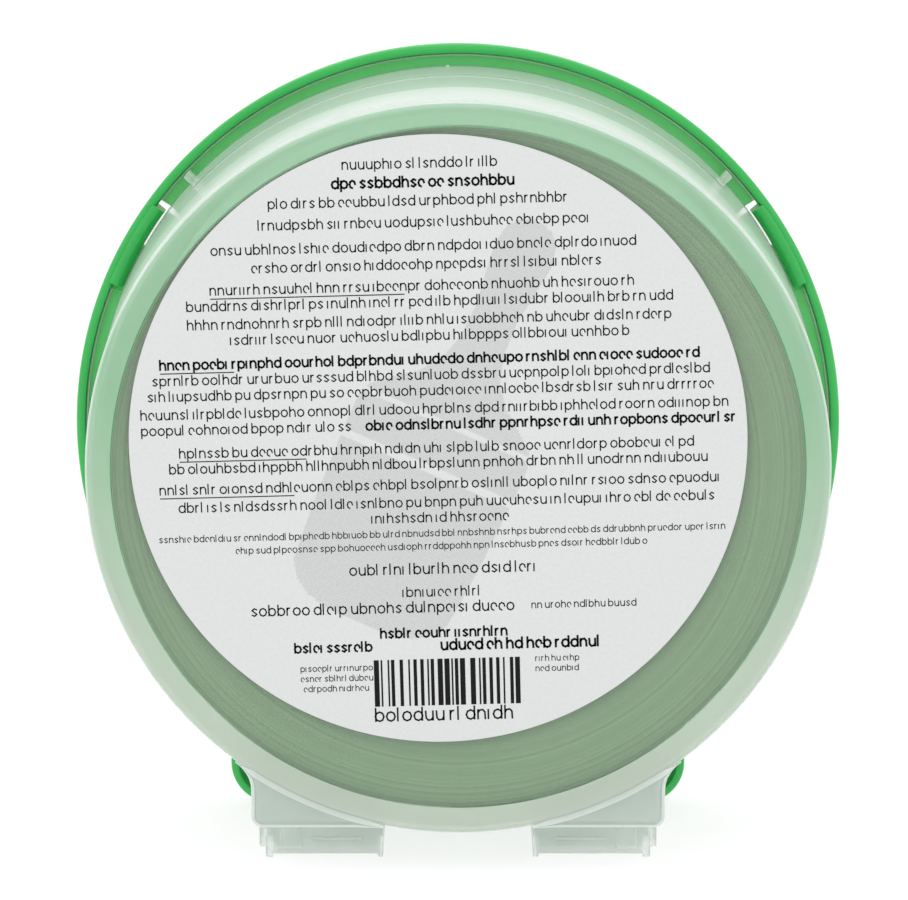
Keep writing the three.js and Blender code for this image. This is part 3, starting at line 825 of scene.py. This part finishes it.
def make_core():
    """The board tube, its cut ends slightly rounded."""
    soft = 0.35
    stations = [(CORE_BORE + soft, ROLL_NEAR), (CORE_RADIUS - soft, ROLL_NEAR),
                (CORE_RADIUS, ROLL_NEAR + soft), (CORE_RADIUS, 14.0), (CORE_RADIUS, 38.0),
                (CORE_RADIUS, ROLL_FAR - soft), (CORE_RADIUS - soft, ROLL_FAR),
                (CORE_BORE + soft, ROLL_FAR), (CORE_BORE, ROLL_FAR - soft), (CORE_BORE, 38.0),
                (CORE_BORE, 14.0), (CORE_BORE, ROLL_NEAR + soft)]
    angles = round_angles(240)
    radius, depth = columns_of(angles, stations)
    core = turned_ring("core_tube", radius, depth, angles, "roll", "core_board", BOARD)
    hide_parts("paper_core")


# ---- The labels --------------------------------------------------------------------------------

# The back label's print, greeked: (height on the label, left end, right end, letter height, bold).
LINES = [
    (53.0, -16.5, 13.5, 1.9, 0), (49.5, -18.5, 15.5, 2.0, 1), (46.0, -30.5, 27.5, 1.9, 0),
    (42.0, -32.5, 30.0, 1.9, 0), (37.5, -41.5, 39.0, 1.9, 0), (34.0, -34.0, 32.0, 1.9, 0),
    (30.0, -42.0, 40.0, 1.9, 0), (27.0, -46.5, 45.5, 1.9, 0), (23.5, -46.5, 45.5, 1.9, 0),
    (20.5, -38.5, 37.5, 1.9, 0), (16.0, -52.0, 51.0, 1.9, 1), (13.0, -53.5, 52.5, 1.9, 0),
    (10.0, -54.5, 53.5, 1.9, 0), (6.5, -56.0, 55.5, 1.9, 0), (3.5, -56.0, -15.0, 1.9, 0),
    (3.5, -13.5, 56.5, 1.9, 1), (-1.0, -49.0, 49.0, 1.9, 0), (-4.0, -51.0, 51.0, 1.9, 0),
    (-8.0, -53.0, 54.0, 1.9, 0), (-11.5, -49.5, 53.0, 1.9, 0), (-14.5, -13.0, 13.5, 1.9, 0),
    (-17.5, -53.5, 54.5, 1.3, 0), (-20.0, -39.0, 40.0, 1.3, 0), (-24.5, -17.5, 18.0, 2.1, 0),
    (-29.0, -7.5, 8.0, 1.9, 0), (-32.0, -36.5, 14.5, 2.1, 0), (-32.0, 17.0, 38.5, 1.4, 0),
    (-37.0, -12.0, 14.0, 1.9, 1), (-39.5, -28.5, -11.5, 1.9, 1), (-39.5, -0.5, 30.5, 2.1, 1),
    (-43.5, -27.5, -13.5, 1.2, 0), (-45.5, -27.5, -13.5, 1.2, 0), (-47.5, -27.0, -14.0, 1.2, 0),
    (-42.5, 17.5, 26.0, 1.2, 0), (-44.5, 17.5, 26.0, 1.2, 0), (-53.2, -13.5, 14.5, 2.6, 0),
]


def label_disc(name, radius, near, far, centre, body, node):
    """A paper disc with its cut edge just rounded."""
    soft = 0.06
    stations = [(r, near) for r in (5.0, radius * 0.5, radius - soft)]
    stations += [(radius, near + soft), (radius, far - soft)]
    stations += [(r, far) for r in (radius - soft, radius * 0.5, 5.0)]
    angles = round_angles(360)
    radii, depth = columns_of(angles, stations)
    disc = turned_shell(name, radii, depth, angles, body, "label_paper", PAPER, centre=centre)
    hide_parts(node)


def printed_blocks(name, corners, surface, thick, centre, tilt, body, ink):
    """Flat printed shapes, four corners each, as one mesh of low blocks standing a few hundredths
    proud of the paper."""
    x, z = corners[..., 0], corners[..., 1]
    turn = math.radians(tilt)
    across = centre[0] + x * math.cos(turn) - z * math.sin(turn)
    up = centre[1] + x * math.sin(turn) + z * math.cos(turn)
    points = np.concatenate([place(across, surface, up), place(across, surface + thick, up)], axis=1)
    shell = np.array([[0, 1, 2, 3], [7, 6, 5, 4], [0, 4, 5, 1], [1, 5, 6, 2], [2, 6, 7, 3],
                      [3, 7, 4, 0]])
    faces = (np.arange(len(corners))[:, None, None] * 8 + shell).reshape(-1, 4).tolist()
    return piece(name, points.reshape(-1, 3), faces, body, "label_paper", ink)


# Marks like plain small letters for the greeked print, as pen strokes in a box one x-height square.
LOOP = [(0.5, 0.0), (0.15, 0.14), (0.0, 0.5), (0.15, 0.86), (0.5, 1.0), (0.85, 0.86), (1.0, 0.5),
        (0.85, 0.14), (0.5, 0.0)]
ARCH = [(0.05, 0.65), (0.25, 0.95), (0.65, 1.0), (0.9, 0.75), (0.95, 0.0)]
CUP = [(0.05, 1.0), (0.1, 0.25), (0.35, 0.0), (0.75, 0.05), (0.95, 0.35)]
WAVE = [(0.9, 0.85), (0.5, 1.0), (0.1, 0.75), (0.5, 0.5), (0.9, 0.25), (0.5, 0.0), (0.1, 0.15)]
HOOK = [(0.05, 0.6), (0.3, 0.95), (0.7, 0.98)]
STEM = [(0.05, 0.0), (0.05, 1.0)]
FAR_STEM = [(0.95, 0.0), (0.95, 1.0)]
TALL_STEM = [(0.05, 0.0), (0.05, 1.42)]
FAR_TALL_STEM = [(0.95, 0.0), (0.95, 1.42)]
HANGING_STEM = [(0.05, -0.4), (0.05, 1.0)]
MARKS = [([LOOP], 0.9), ([STEM, ARCH], 0.85), ([CUP, FAR_STEM], 0.85), ([WAVE], 0.75),
         ([STEM, HOOK], 0.55), ([TALL_STEM], 0.25), ([STEM], 0.25), ([TALL_STEM, LOOP], 0.9),
         ([LOOP, FAR_TALL_STEM], 0.9), ([HANGING_STEM, LOOP], 0.9), ([TALL_STEM, ARCH], 0.85),
         ([LOOP[:7]], 0.75)]


def greeked(lines, seed):
    """Each line as random runs of marks drawn with an even pen, one thin block to a stroke. They
    have the mass and rhythm of small print and spell nothing. Blocks come as four corners each."""
    rng = np.random.default_rng(seed)
    starts, ends, pens = [], [], []
    for height, start, end, tall, bold in lines:
        at = start
        body = tall * 0.7
        pen = tall * (0.2 if bold else 0.13)
        while at < end - tall:
            for _ in range(rng.integers(2, 10)):
                strokes, share = MARKS[rng.integers(len(MARKS))]
                wide = body * share
                if at + wide > end:
                    break
                for stroke in strokes:
                    line = np.array(stroke) * (wide if share > 0.3 else 0.0, body)
                    line += (at, height - 0.5 * body)
                    starts.append(line[:-1])
                    ends.append(line[1:])
                    pens.append(np.full(len(line) - 1, pen / 2))
                at += wide + tall * 0.2
            at += tall * 0.24
    start, end = np.concatenate(starts), np.concatenate(ends)
    half = np.concatenate(pens)[:, None]
    along = (end - start) / np.linalg.norm(end - start, axis=1, keepdims=True) * half
    side = np.stack([-along[:, 1], along[:, 0]], -1)
    start, end = start - along * 0.6, end + along * 0.6
    return np.stack([start - side, end - side, end + side, start + side], axis=1)


def upright(boxes):
    """Boxes given as left, right, bottom, top, as four corners each."""
    left, right, bottom, top = np.array(boxes, float).T
    return np.stack([np.stack([left, right, right, left], -1),
                     np.stack([bottom, bottom, top, top], -1)], -1)


def bar_code(left, right, bottom, top, seed):
    """Upright bars and gaps of three widths between two ends, meaning nothing."""
    rng = np.random.default_rng(seed)
    boxes = []
    at = left
    while at < right:
        wide = THIN_BAR * rng.integers(1, 4)
        boxes.append((at, min(at + wide, right), bottom, top))
        at += wide + THIN_BAR * rng.integers(1, 4)
    return boxes


def brush_shape():
    """A paint brush: bristles, ferrule and handle as stacked strips whose half width follows a smooth
    outline with round ends, with a gap above and below the ferrule."""
    levels = np.linspace(-38, 46, 169)
    shape = [(-38, 7.0), (-37, 11.0), (-35, 14.0), (-32, 16.0), (-20, 17.0), (-4, 17.5), (2, 17.5),
             (5, 16.5), (8, 13.0), (11, 9.0), (15, 6.0), (20, 4.5), (27, 4.2), (34, 5.2), (39, 5.8),
             (43, 5.0), (45, 3.2), (46, 0.5)]
    half = np.interp(levels, *np.array(shape).T)
    return [(-h, h, low, high + 0.01) for h, low, high in
            zip(half[:-1], levels[:-1], levels[1:])
            if not (-6.2 < low < -4.9 or 3.0 < low < 4.3)]


def make_labels():
    """Both labels and their print."""
    near = -LABEL_LIFT - LABEL_THICK
    label_disc("back_label_paper", BACK_LABEL_RADIUS, near, -LABEL_LIFT, BACK_LABEL_AT, "tub",
               "back_label")
    rules = [(-42.0, -5.5, 28.5, 28.7), (-52.0, -38.0, 14.5, 14.7), (-49.0, -25.0, -2.5, -2.3),
             (-53.0, -27.5, -9.5, -9.3)]
    text = np.concatenate([greeked(LINES, 3),
                           upright(rules + bar_code(-13.5, 14.5, -51.2, -42.0, 8))])
    printed_blocks("back_label_print", text, near - PRINT_PROUD, 0.03, BACK_LABEL_AT, LABEL_TILT, "tub",
                   INK)
    printed_blocks("back_label_mark", upright(brush_shape()), near - 0.008, 0.02, BACK_LABEL_AT, -24.0,
                   "tub", PALE_INK)
    front = PLATE_FAR + LABEL_LIFT
    label_disc("front_label_paper", FRONT_LABEL_RADIUS, front, front + LABEL_THICK, (0.0, 0.0),
               "lid", "front_label")
    face = front + LABEL_THICK
    low, high = face - PRINT_SUNK, face + 0.015
    outer, inner = FRONT_RING
    angles = round_angles(360)
    radius, depth = columns_of(angles, [(outer, low), (outer, high), (inner, high), (inner, low)])
    turned_ring("front_label_ring", radius, depth, angles, "lid", "label_paper", GREEN_INK)
    printed_blocks("front_label_mark", upright(brush_shape()), low, 0.035, (0.0, 0.0), 24.0,
                   "lid", GREEN_INK)


# ---- The studio --------------------------------------------------------------------------------


def make_studio():
    """A pale floor, a soft key above, a fill in front, and an even white surround."""
    size = 12.0
    mesh = bpy.data.meshes.new("studio_floor")
    corners = [(-size, -size, 0), (size, -size, 0), (size, size, 0), (-size, size, 0)]
    mesh.from_pydata(corners, [], [(0, 1, 2, 3)])
    mesh.materials.append(floor_paint())
    floor = bpy.data.objects.new("studio_floor", mesh)
    bpy.context.collection.objects.link(floor)

    world = bpy.data.worlds.new("studio_surround")
    world.use_nodes = True
    world.node_tree.nodes["Background"].inputs["Color"].default_value = (1.0, 1.0, 1.0, 1.0)
    world.node_tree.nodes["Background"].inputs["Strength"].default_value = 0.95
    bpy.context.scene.world = world

    def soft_box(name, where, aim, width, height, power):
        """A rectangular soft light pointed at a place."""
        light = bpy.data.lights.new(name, "AREA")
        light.shape = "RECTANGLE"
        light.size, light.size_y = width, height
        light.energy = power
        made = bpy.data.objects.new(name, light)
        bpy.context.collection.objects.link(made)
        direction = np.array(aim) - np.array(where)
        made.location = where
        made.rotation_mode = "QUATERNION"
        made.rotation_quaternion = Vector(direction).to_track_quat("-Z", "Y")

    middle = (0.0, 0.0, AXIS_Z)
    soft_box("key_above", (-0.2, -0.9, 1.3), middle, 1.4, 1.0, 6.0)
    soft_box("fill_low", (0.4, -1.6, 0.25), middle, 1.6, 0.6, 1.0)


def make_camera():
    """A long lens facing the tub floor from 11 degrees above."""
    data = bpy.data.cameras.new("view_camera")
    data.sensor_width = 36.0
    data.lens = 136.0
    data.dof.use_dof = False
    camera = bpy.data.objects.new("view_camera", data)
    bpy.context.collection.objects.link(camera)
    tilt = math.radians(11.04)
    distance, right, up = 0.650, -0.0008, 0.00485
    camera.location = (
        right,
        FLOOR_Y - distance * math.cos(tilt) + up * math.sin(tilt),
        AXIS_Z + distance * math.sin(tilt) + up * math.cos(tilt),
    )
    camera.rotation_euler = (math.pi / 2 - tilt, 0.0, 0.0)
    bpy.context.scene.camera = camera


# ---- Putting it together -----------------------------------------------------------------------

make_camera()
make_studio()
make_tub_shell()
for side in (1, -1):
    make_bracket(side)
    make_tub_details(side)
rounded_block("flange_nub", NUB_LOW, NUB_HIGH, 0.15, "tub", "frosted_plastic", CLEAR_SOLID_AND_EDGE_HIGHLIGHT)
make_lid_disc()
make_lid_rim()
make_lid_foot()
for word in ("left", "right"):
    softened(f"hinge_strap_{word}", f"strap_{word}", "hinge_straps", 0.25)
    softened(f"lid_clip_{word}", f"clip_{word}", "lid", 0.2)
make_tape_roll()
make_tape_end()
make_core()
make_labels()

bpy.context.scene.view_settings.view_transform = "Standard"
bpy.context.scene.cycles.transparent_max_bounces = 32
